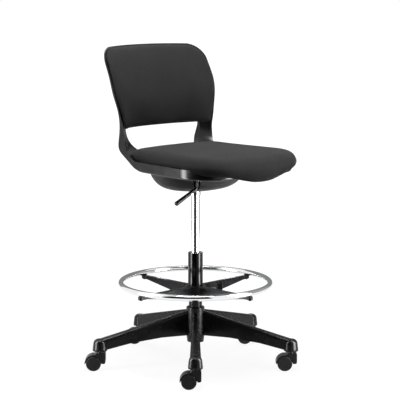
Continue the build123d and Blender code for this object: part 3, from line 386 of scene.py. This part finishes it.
SLOTS: tuple[Finish, ...] = (
    Cloth("seat_fabric", (0.048, 0.048, 0.048)),
    Cloth("back_fabric", (0.047, 0.047, 0.047)),
    Moulded("shell_plastic", (0.012, 0.012, 0.014), 0.22, strength=0.05, specular=0.25),
    Moulded("cover_plastic", (0.034, 0.034, 0.033), 0.50, specular=0.15),
    Moulded("base_plastic", (0.008, 0.008, 0.009), 0.26, strength=0.01, specular=0.22),
    Moulded("spider_plastic", (0.008, 0.008, 0.010), 0.32, strength=0.02, specular=0.16),
    Moulded("caster_plastic", (0.012, 0.012, 0.013), 0.38, specular=0.18),
    Moulded("wheel_plastic", (0.016, 0.016, 0.018), 0.45, specular=0.20),
    Moulded("knob_plastic", (0.012, 0.012, 0.014), 0.36, specular=0.2),
    Moulded("lever_plastic", (0.008, 0.008, 0.009), 0.40, specular=0.2),
    Moulded("back_panel", (0.03, 0.03, 0.03), 0.6, specular=0.3),
    Moulded("bush_plastic", (0.70, 0.70, 0.68), 0.45),
    Moulded("bumper_rubber", (0.018, 0.018, 0.018), 0.8, specular=0.3),
    Plated("chrome", (0.88, 0.89, 0.90), 0.07),
    Plated("steel", (0.56, 0.57, 0.58), 0.28, drift=0.06, strength=0.2),
    Plated("cage_brass", (0.62, 0.47, 0.22), 0.30, drift=0.06, strength=0.2),
    Enamel("black_steel", (0.012, 0.012, 0.013), 0.35, 0.3),
    Enamel("column_enamel", (0.004, 0.004, 0.006), 0.14, 0.2),
    Plywood("plywood", (0.52, 0.38, 0.24)),
)
FINISHES: dict[str, Finish] = {finish.name: finish for finish in SLOTS}


class Palette:
    """The record's material slots with their finishes, made once each."""

    def __init__(self, record: dict[str, Any]) -> None:
        """Read which slot each CAD node takes.

        Args:
            record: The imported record.
        """
        self.slot_of: dict[str, str] = {row["node"]: row["material_slot"] for row in record["subparts"]}
        self.made: dict[str, bpy.types.Material] = {}

    def material(self, slot: str) -> bpy.types.Material:
        """Material of a slot, made when it is first asked for.

        Args:
            slot: Name of the material slot.

        Returns:
            The material.
        """
        if slot not in self.made:
            self.made[slot] = FINISHES[slot].make()
        return self.made[slot]

    def dress(self, piece: bpy.types.Object, slot: str) -> None:
        """Give a piece the one material of a slot.

        Args:
            piece: A CAD node's object or a new piece.
            slot: Name of the material slot.
        """
        piece.data.materials.clear()
        piece.data.materials.append(self.material(slot))

    def dress_nodes(self, nodes: dict[str, bpy.types.Object]) -> None:
        """Dress every CAD node from its own slot.

        Args:
            nodes: CAD nodes by name.
        """
        for name, piece in nodes.items():
            self.dress(piece, self.slot_of[name])
            LOG.info("%s: %s", name, self.slot_of[name])


def link(name: str, mesh: bpy.types.Mesh) -> bpy.types.Object:
    """Put a mesh into the scene as an object at the origin.

    Args:
        name: Name of the object.
        mesh: Its mesh.

    Returns:
        The object.
    """
    piece = bpy.data.objects.new(name, mesh)
    bpy.context.scene.collection.objects.link(piece)
    return piece


def merge(mesh: bpy.types.Mesh, outwards: bool = False) -> None:
    """Join a mesh's doubled points.

    Args:
        mesh: Mesh that changes.
        outwards: Whether its faces are then turned outwards.
    """
    work = bmesh.new()
    work.from_mesh(mesh)
    bmesh.ops.remove_doubles(work, verts=work.verts, dist=MERGE)
    if outwards:
        bmesh.ops.recalc_face_normals(work, faces=work.faces)
    work.to_mesh(mesh)
    work.free()


def merged_copy(node: str, name: str) -> bpy.types.Object:
    """Copy of a CAD node with its loose triangles joined.

    Args:
        node: CAD node that is copied.
        name: Name of the new piece.

    Returns:
        The new piece, at the origin.
    """
    mesh = frame["nodes"][node].data.copy()
    merge(mesh)
    return link(name, mesh)


def points_of(mesh: bpy.types.Mesh, what: str = "co") -> np.ndarray:
    """All of a mesh's points, or their normals, as rows of x, y and z.

    Args:
        mesh: Mesh that is read.
        what: Blender's name of the points' property.

    Returns:
        One row for each point.
    """
    flat = np.empty(3 * len(mesh.vertices))
    mesh.vertices.foreach_get(what, flat)
    return flat.reshape(-1, 3)


def edges_of(mesh: bpy.types.Mesh) -> np.ndarray:
    """Pairs of neighbouring points of a mesh.

    Args:
        mesh: Mesh that is read.

    Returns:
        One row for each edge.
    """
    flat = np.empty(2 * len(mesh.edges), int)
    mesh.edges.foreach_get("vertices", flat)
    return flat.reshape(-1, 2)


def evened(values: np.ndarray, edges: np.ndarray, rounds: int) -> np.ndarray:
    """Average each point's values with its neighbours', so that only broad changes stay.

    Each round keeps half of a point's value and takes the other half from its neighbours' mean.

    Args:
        values: One row for each point.
        edges: Pairs of neighbouring points.
        rounds: How often the average is taken.

    Returns:
        The averaged rows.
    """
    near, far = np.concatenate([edges, edges[:, ::-1]]).T
    count = np.bincount(near, minlength=len(values))[:, None]
    for _ in range(rounds):
        sums = [np.bincount(near, column[far], len(values)) for column in values.T]
        values = 0.5 * values + 0.5 * np.stack(sums, axis=1) / count
    return values


@dataclass
class Cushion:
    """Upholstered foam pad that stands for a CAD solid, swollen by a short cloth simulation.

    Attributes:
        node: CAD solid that the pad replaces.
        name: Name of the piece.
        facing: Direction of the sitter.
        fill: How tight the pad is, from 0 to 1; not used.
        palette: Finishes by slot.
        voxel: Size of the remesh.
        pressure: Inner pressure of the simulation.
        cap: Longest move of a point in the simulation.
        evening: Rounds that even out the swelling.
        rounds: Rounds that round the edges.
        blur: Rounds that soften the change between free and held points.
        hold: Smallest share of its move that a held point makes.
        frames: Length of the simulation.
        body: Body that carries the pad.
    """

    node: str
    name: str
    facing: Vector
    fill: float
    palette: Palette
    voxel: float = 0.0048
    pressure: float = 4.0
    cap: float = 0.006
    evening: int = 40
    rounds: int = 40
    blur: int = 4
    hold: float = 0.2
    frames: int = 20
    body: str = "seat"

    def build(self) -> bpy.types.Object:
        """Returns:
            The finished cushion.
        """
        piece = self.start()
        self.apply(piece, "REMESH", mode="VOXEL", voxel_size=self.voxel)
        free = self.free_share(piece.data)
        self.swell(piece, free)
        self.soften(piece, free)
        self.apply(piece, "SUBSURF", subdivision_type="SIMPLE", levels=1, render_levels=1)
        piece.data.polygons.foreach_set("use_smooth", np.ones(len(piece.data.polygons), bool))
        return self.declare(piece)

    def free_share(self, mesh: bpy.types.Mesh) -> np.ndarray:
        """Share of its move that each point may make.

        Points that face the sitter move freely. Points that face away rest on the board or grip
        the rim of the shell, so they move little. The share is 0.4 plus twice the normal's part
        towards the sitter, between the held share and 1.

        Args:
            mesh: Remeshed cushion.

        Returns:
            One row with a share of at most 1 for each point.
        """
        towards = points_of(mesh, "normal") @ np.array(self.facing)
        share = np.clip(2.0 * towards + 0.4, self.hold, 1.0)
        return evened(share[:, None], edges_of(mesh), self.blur)

    def soften(self, piece: bpy.types.Object, free: np.ndarray) -> None:
        """Round the edges on the sitter's side.

        Args:
            piece: Swollen cushion.
            free: Share of its move that each point may make.
        """
        before = points_of(piece.data)
        rounded = evened(before, edges_of(piece.data), self.rounds)
        piece.data.vertices.foreach_set("co", (before + free * (rounded - before)).ravel())
        piece.data.update()

    def start(self) -> bpy.types.Object:
        """Piece that is remeshed: a copy of the CAD solid.

        Returns:
            The new piece.
        """
        return merged_copy(self.node, self.name)

    def apply(self, piece: bpy.types.Object, kind: str, **settings: Any) -> None:
        """Add a modifier and make its result the piece's own mesh.

        Args:
            piece: Piece that changes.
            kind: Blender's name of the modifier.
            **settings: The modifier's properties.
        """
        modifier = piece.modifiers.new(kind.lower(), kind)
        for key, value in settings.items():
            setattr(modifier, key, value)
        self.keep(piece)

    def keep(self, piece: bpy.types.Object) -> None:
        """Replace a piece's mesh by its evaluated one and drop its modifiers.

        Args:
            piece: Piece that changes.
        """
        graph = bpy.context.evaluated_depsgraph_get()
        mesh = bpy.data.meshes.new_from_object(piece.evaluated_get(graph))
        piece.modifiers.clear()
        piece.data = mesh

    def swell(self, piece: bpy.types.Object, free: np.ndarray) -> None:
        """Let inner pressure fill the cover, with each point's move limited to the cap.

        Args:
            piece: Remeshed cushion.
            free: Share of its move that each point may make.
        """
        before = points_of(piece.data)
        cloth = piece.modifiers.new("cloth", "CLOTH")
        cloth.settings.use_pressure = True
        cloth.settings.uniform_pressure_force = self.pressure
        cloth.settings.effector_weights.gravity = 0.0
        cloth.point_cache.frame_end = self.frames
        for step in range(1, self.frames + 1):
            bpy.context.scene.frame_set(step)
        self.keep(piece)
        bpy.context.scene.frame_set(1)
        move = points_of(piece.data) - before
        reach = np.linalg.norm(move, axis=1, keepdims=True)
        capped = free * move * np.minimum(1.0, self.cap / np.maximum(reach, 1e-9))
        swollen = before + evened(capped, edges_of(piece.data), self.evening)
        piece.data.vertices.foreach_set("co", swollen.ravel())
        piece.data.update()

    def declare(self, piece: bpy.types.Object) -> bpy.types.Object:
        """Dress the cushion, tie it to its body and hide its CAD solid.

        Args:
            piece: Finished cushion.

        Returns:
            The same piece.
        """
        slot = self.palette.slot_of[self.node]
        self.palette.dress(piece, slot)
        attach(piece, self.body)
        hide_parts(self.node)
        LOG.info("%s: %d faces", self.name, len(piece.data.polygons))
        return piece


@dataclass
class SeatCushion(Cushion):
    """Seat pad whose front rolls over in a full nose and hangs below the rim of the shell.

    Attributes:
        centre: Place along Y of the middle that the section is carried round.
        turns: Directions round the middle.
        steps: Points of the section over the top.
        bends: Points of each of its two quarters.
        roll: Width of the upper quarter.
        tuck: Width of the lower quarter.
        flat: Width of the flat lip under it.
        girth: Height of the widest point, as a share of the way from the lip to the top.
        fullness: Power of the upper quarter's superellipse; 2 is an ellipse.
        scan: First and last height, and step, of the rays that look for the widest point.
        band: First and last distance in from the widest point, and step, of those that look for the lip.
        aside: Distance from the middle, clear of the solid, at which level rays start.
        below: Height, clear of the solid, at which upward rays start.
        above: Height, clear of the solid, at which downward rays start.
        tree: The CAD solid's faces, for the rays.
    """

    centre: float = -0.10
    turns: int = 240
    steps: int = 24
    bends: int = 14
    roll: float = 0.050
    tuck: float = 0.020
    flat: float = 0.010
    girth: float = 0.48
    fullness: float = 2.4
    scan: tuple[float, float, float] = (0.648, 0.735, 0.003)
    band: tuple[float, float, float] = (0.002, 0.040, 0.002)
    aside: float = 0.6
    below: float = 0.5
    above: float = 1.0
    tree: BVHTree = field(init=False)

    def __post_init__(self) -> None:
        """Read the CAD solid for the rays."""
        mesh = frame["nodes"][self.node].data
        faces = [face.vertices[:] for face in mesh.polygons]
        self.tree = BVHTree.FromPolygons(points_of(mesh).tolist(), faces)

    def start(self) -> bpy.types.Object:
        """Carry a rounded section round the seat's middle, with its sizes read off the CAD solid.

        The section runs out over the top, along a quarter superellipse to the widest point, along a
        second quarter, an ellipse, down to the lower lip, and back in along the flat underside.

        Returns:
            The piece that is remeshed.
        """
        angle = np.linspace(0.0, 2 * math.pi, self.turns, endpoint=False)
        out = np.stack([np.sin(angle), -np.cos(angle)], axis=1)
        reach = self.calmed(np.array([self.reach(way) for way in out]), 1.5)
        lip = self.calmed(np.array([self.lip(way, far) for way, far in zip(out, reach)]), 3.0)
        inner = reach - self.roll
        shares = np.linspace(0.0, 1.0, self.steps)
        tops = np.array([[self.drop(way, share * far) for share in shares] for way, far in zip(out, inner)])
        rest = lip.max()
        girth = lip + self.girth * (tops[:, -1] - lip)
        quarter = np.linspace(0.0, math.pi / 2, self.bends)[1:]
        high, low = np.sin(quarter) ** (2 / self.fullness), np.cos(quarter) ** (2 / self.fullness)
        radii = [share * inner for share in shares]
        levels = list(tops.T)
        radii += [inner + self.roll * part for part in high]
        levels += [girth + (tops[:, -1] - girth) * part for part in low]
        radii += [reach - self.tuck * (1.0 - part) for part in np.cos(quarter)]
        levels += [girth - (girth - lip) * part for part in np.sin(quarter)]
        radii += [(reach - self.tuck - self.flat) * share for share in (1.0, 0.985, 0.5, 0.0)]
        levels += [lip] + [np.full(self.turns, rest)] * 3
        return link(self.name, self.skin(out, np.array(radii), np.array(levels)))

    def calmed(self, values: np.ndarray, width: float) -> np.ndarray:
        """Smooth a ring of values with a bell curve whose width is given in steps.

        Args:
            values: One value for each direction.
            width: Width of the bell in steps.

        Returns:
            The smoothed ring.
        """
        away = np.minimum(np.arange(self.turns), self.turns - np.arange(self.turns))
        bell = np.exp(-0.5 * (away / width) ** 2)
        return np.fft.irfft(np.fft.rfft(values) * np.fft.rfft(bell / bell.sum()), self.turns)

    def cast(self, way: np.ndarray, far: float, level: float, aim: Vector) -> Vector | None:
        """First point that a ray meets, from a distance along a direction at a level.

        Args:
            way: Direction from the middle, in plan.
            far: Distance along it.
            level: Height of the start.
            aim: Direction of the ray.

        Returns:
            The point, or None if the ray meets nothing.
        """
        return self.tree.ray_cast(Vector((way[0] * far, self.centre + way[1] * far, level)), aim)[0]

    def reach(self, way: np.ndarray) -> float:
        """Distance from the middle to the solid's widest point in one direction.

        Args:
            way: Direction from the middle, in plan.

        Returns:
            The distance.
        """
        aim = Vector((-way[0], -way[1], 0.0))
        hits = [self.cast(way, self.aside, level, aim) for level in np.arange(*self.scan)]
        return max(math.hypot(hit.x, hit.y - self.centre) for hit in hits if hit)

    def lip(self, way: np.ndarray, far: float) -> float:
        """Height of the solid's lowest point near its edge in one direction.

        Args:
            way: Direction from the middle, in plan.
            far: Distance of the widest point.

        Returns:
            The height.
        """
        up = Vector((0.0, 0.0, 1.0))
        hits = [self.cast(way, far - back, self.below, up) for back in np.arange(*self.band)]
        return min(hit.z for hit in hits if hit)

    def drop(self, way: np.ndarray, far: float) -> float:
        """Height of the solid's top at a distance in one direction.

        Args:
            way: Direction from the middle, in plan.
            far: Distance along it.

        Returns:
            The height.
        """
        return self.cast(way, far, self.above, Vector((0.0, 0.0, -1.0))).z

    def skin(self, out: np.ndarray, radii: np.ndarray, levels: np.ndarray) -> bpy.types.Mesh:
        """Closed mesh through rings of points.

        Args:
            out: Direction of each column.
            radii: Distance from the middle, a row for each ring.
            levels: Height, a row for each ring.

        Returns:
            The mesh, with each end ring merged to one point.
        """
        spots = radii[..., None] * out
        points = np.concatenate([spots + np.array([0.0, self.centre]), levels[..., None]], axis=2)
        first = np.arange(len(radii) - 1)[:, None] * self.turns + np.arange(self.turns)
        after = np.roll(first, -1, axis=1)
        faces = np.stack([first, first + self.turns, after + self.turns, after], axis=2)
        mesh = bpy.data.meshes.new(self.name)
        mesh.from_pydata(points.reshape(-1, 3).tolist(), [], faces.reshape(-1, 4).tolist())
        merge(mesh, outwards=True)
        return mesh


@dataclass(frozen=True)
class Card:
    """Upright card or strip on the reflection wall.

    Attributes:
        middle: Angle from the camera in degrees, positive to its right.
        half_width: Half of its width in degrees.
        level: Its brightness, where 1 is white.
        foot: Height of its lower edge.
    """

    middle: float
    half_width: float
    level: float
    foot: float = 0.0


@dataclass
class ReflectionWall:
    """Low wall round the chair, seen in glossy surfaces alone, with dark cards and bright strips: painted
    reflections, since it glows though it is no lamp and lights nothing.

    Attributes:
        ahead: Direction of the camera from the chair, in degrees from +X.
        radius: Radius of the wall.
        columns: Points round it.
        soft: Width in degrees over which a card's side fades.
        rows: Heights of its rings of points.
        cards: What stands on it.
    """

    ahead: float
    radius: float = 0.95
    columns: int = 720
    soft: float = 4.0
    rows: tuple[float, ...] = (0.0, 0.26, 0.30, 1.3)
    cards: tuple[Card, ...] = (
        Card(-11.0, 31.0, 0.02),
        Card(180.0, 55.0, 0.25, foot=0.28),
        Card(102.0, 24.0, 0.40, foot=0.28),
        Card(-68.0, 9.0, 22.0),
        Card(65.0, 10.0, 30.0),
    )

    def glow(self, turn: np.ndarray, height: float) -> np.ndarray:
        """Brightness at angles from the camera: white, faded to each card's level inside its width.

        Args:
            turn: Angles in degrees, positive to the camera's right.
            height: Height on the wall; a card counts from its own lower edge up.

        Returns:
            One level for each angle.
        """
        level = np.ones_like(turn)
        for card in self.cards:
            if height < card.foot:
                continue
            away = np.abs((turn - card.middle + 180.0) % 360.0 - 180.0)
            inside = np.clip((card.half_width - away) / self.soft + 0.5, 0.0, 1.0)
            level += inside * (card.level - level)
        return level

    def build(self) -> None:
        """Carry an upright line round a circle, with the brightness kept as a point attribute."""
        turn = np.linspace(-180.0, 180.0, self.columns, endpoint=False)
        heading = math.radians(self.ahead) + np.radians(turn)
        round_trip = np.stack([np.cos(heading), np.sin(heading), np.zeros_like(heading)], axis=1)
        points = np.concatenate([self.radius * round_trip + np.array([0.0, 0.0, row]) for row in self.rows])
        levels = np.concatenate([self.glow(turn, row) for row in self.rows])
        first = np.arange(len(self.rows) - 1)[:, None] * self.columns + np.arange(self.columns)
        after = np.roll(first, -1, axis=1)
        faces = np.stack([first, after, after + self.columns, first + self.columns], axis=2).reshape(-1, 4)
        mesh = bpy.data.meshes.new("reflection_wall")
        mesh.from_pydata(points.tolist(), [], faces.tolist())
        mesh.attributes.new("glow", "FLOAT", "POINT").data.foreach_set("value", levels)
        mesh.materials.append(self.material())
        wall = link("reflection_wall", mesh)
        # Painted reflection: the wall shows only in gloss, so its strips paint highlights and its cards
        # paint dark reflections, without lighting or shading the chair.
        wall.visible_camera = wall.visible_diffuse = wall.visible_shadow = False
        wall.visible_transmission = wall.visible_volume_scatter = False

    def material(self) -> bpy.types.Material:
        """Plain glow whose strength is the wall's own attribute.

        Returns:
            The material.
        """
        material = bpy.data.materials.new("reflection_wall")
        material.use_nodes = True
        material.node_tree.nodes.clear()
        graph = Graph(material.node_tree)
        level = graph.add("Attribute", {}, attribute_name="glow").outputs["Fac"]
        glow = graph.add("Emission", {"Strength": level})
        graph.add("OutputMaterial", {"Surface": glow.outputs[0]})
        return material


@dataclass(frozen=True)
class Lamp:
    """Square soft lamp: its middle, the side of its square and its power in watts."""

    name: str
    spot: tuple[float, float, float]
    size: float
    power: float


@dataclass
class Studio:
    """Pale floor, soft lamps, a white surround and the photograph's camera.

    Attributes:
        target_height: Height of the point that the camera and the lamps face.
        distance: Distance of the camera from it.
        azimuth: Camera's turn about Z in degrees, from straight ahead of the sitter.
        elevation: Camera's rise in degrees.
        lens: Focal length in millimetres.
        sensor: Width of the sensor in millimetres.
        shift: Sideways shift of the frame.
        clip: Farthest distance that is drawn.
        floor_size: Side of the floor.
        floor_colour: Grey of the floor where it is seen.
        floor_white: Strength of its glow.
        floor_share: Share of the glow under the chair, where the shadow falls.
        fade: Distances from the chair between which the share rises to 1.
        floor_bounce: Grey of the floor for the light that it sends back to the chair.
        surround: Strength of the world as a light.
        lamps: The soft lamps.
    """

    target_height: float = 0.5564
    distance: float = 5.2
    azimuth: float = -43.0
    elevation: float = 8.62
    lens: float = 140.0
    sensor: float = 36.0
    shift: float = 0.01135
    clip: float = 200.0
    floor_size: float = 60.0
    floor_colour: float = 0.8
    floor_white: float = 1.12
    floor_share: float = 0.82
    fade: tuple[float, float] = (0.7, 2.0)
    floor_bounce: float = 0.10
    surround: float = 0.10
    lamps: tuple[Lamp, ...] = (
        Lamp("key", (-0.2, -0.3, 3.7), 1.6, 95.0),
        Lamp("fill", (0.9, -2.7, 2.2), 1.8, 14.0),
        Lamp("back", (0.6, 2.8, 2.0), 1.6, 20.0),
    )

    def build(self) -> None:
        """Make the floor, the surround, the reflections, the lamps and the camera."""
        self.make_floor()
        self.make_surround()
        ReflectionWall(ahead=self.azimuth - 90.0).build()
        for lamp in self.lamps:
            self.hang(lamp)
        self.make_camera()
        bpy.context.scene.view_settings.view_transform = "Standard"

    def make_floor(self) -> None:
        """Wide pale floor that is white to the camera but keeps a trace of the shadow."""
        half = self.floor_size / 2
        corners = [(-half, -half, 0.0), (half, -half, 0.0), (half, half, 0.0), (-half, half, 0.0)]
        mesh = bpy.data.meshes.new("floor")
        mesh.from_pydata(corners, [], [(0, 1, 2, 3)])
        material = bpy.data.materials.new("floor_white")
        material.use_nodes = True
        material.node_tree.nodes.clear()
        graph = Graph(material.node_tree)
        seen = graph.seen_white()
        sockets = {"Value": seen, "To Min": self.floor_bounce, "To Max": self.floor_colour}
        plain = graph.add("BsdfDiffuse", {"Color": graph.add("MapRange", sockets).outputs["Result"]})
        glow = graph.add("Emission", {"Strength": self.floor_white})
        place = graph.add("TexCoord", {}).outputs["Object"]
        away = graph.add("VectorMath", {0: place}, operation="LENGTH").outputs["Value"]
        near, far = self.fade
        sockets = {"Value": away, "From Min": near, "From Max": far}
        sockets |= {"To Min": self.floor_share, "To Max": 1.0}
        share = graph.maths("MULTIPLY", seen, graph.add("MapRange", sockets).outputs["Result"])
        blend = graph.add("MixShader", {0: share, 1: plain.outputs[0], 2: glow.outputs[0]})
        graph.add("OutputMaterial", {"Surface": blend.outputs[0]})
        mesh.materials.append(material)
        link("floor", mesh)

    def make_surround(self) -> None:
        """World that lights softly and is white where it is seen."""
        world = bpy.data.worlds.new("surround")
        bpy.context.scene.world = world
        world.use_nodes = True
        graph = Graph(world.node_tree)
        sockets = {"Value": graph.seen_white(), "To Min": self.surround, "To Max": 1.0}
        level = graph.add("MapRange", sockets).outputs["Result"]
        back = world.node_tree.nodes["Background"]
        graph.put(back, {"Color": (1.0, 1.0, 1.0, 1.0), "Strength": level})

    def hang(self, lamp: Lamp) -> None:
        """Put up a lamp so that it faces the chair.

        Args:
            lamp: Lamp that is put up.
        """
        data = bpy.data.lights.new(lamp.name, "AREA")
        data.size = lamp.size
        data.energy = lamp.power
        panel = bpy.data.objects.new(lamp.name, data)
        panel.location = lamp.spot
        panel.visible_camera = False
        ahead = Vector((0.0, 0.0, self.target_height)) - Vector(lamp.spot)
        panel.rotation_euler = ahead.to_track_quat("-Z", "Y").to_euler()
        bpy.context.scene.collection.objects.link(panel)

    def make_camera(self) -> None:
        """Camera at the photograph's angle, with a small shift for its framing."""
        turn, rise = math.radians(self.azimuth), math.radians(self.elevation)
        back = Vector(
            (math.sin(turn) * math.cos(rise), -math.cos(turn) * math.cos(rise), math.sin(rise))
        )
        data = bpy.data.cameras.new("camera")
        data.sensor_width = self.sensor
        data.lens = self.lens
        data.shift_x = self.shift
        data.clip_end = self.clip
        camera = bpy.data.objects.new("camera", data)
        camera.location = Vector((0.0, 0.0, self.target_height)) + self.distance * back
        camera.rotation_euler = (-back).to_track_quat("-Z", "Y").to_euler()
        bpy.context.scene.collection.objects.link(camera)
        bpy.context.scene.camera = camera


def main() -> None:
    """Build the studio, dress the frame and make the cushions, in that order."""
    logging.basicConfig(level=logging.INFO, format="%(name)s: %(message)s")
    Studio().build()
    palette = Palette(frame["record"])
    palette.dress_nodes(frame["nodes"])
    LOG.info("dressed %d nodes", len(frame["nodes"]))
    SeatCushion("seat_cushion", "seat_pad", Vector((0.0, 0.0, 1.0)), 0.8, palette).build()
    Cushion("back_cushion", "back_pad", Vector((0.0, -1.0, 0.0)), 0.8, palette).build()


if __name__ == "__main__":
    main()
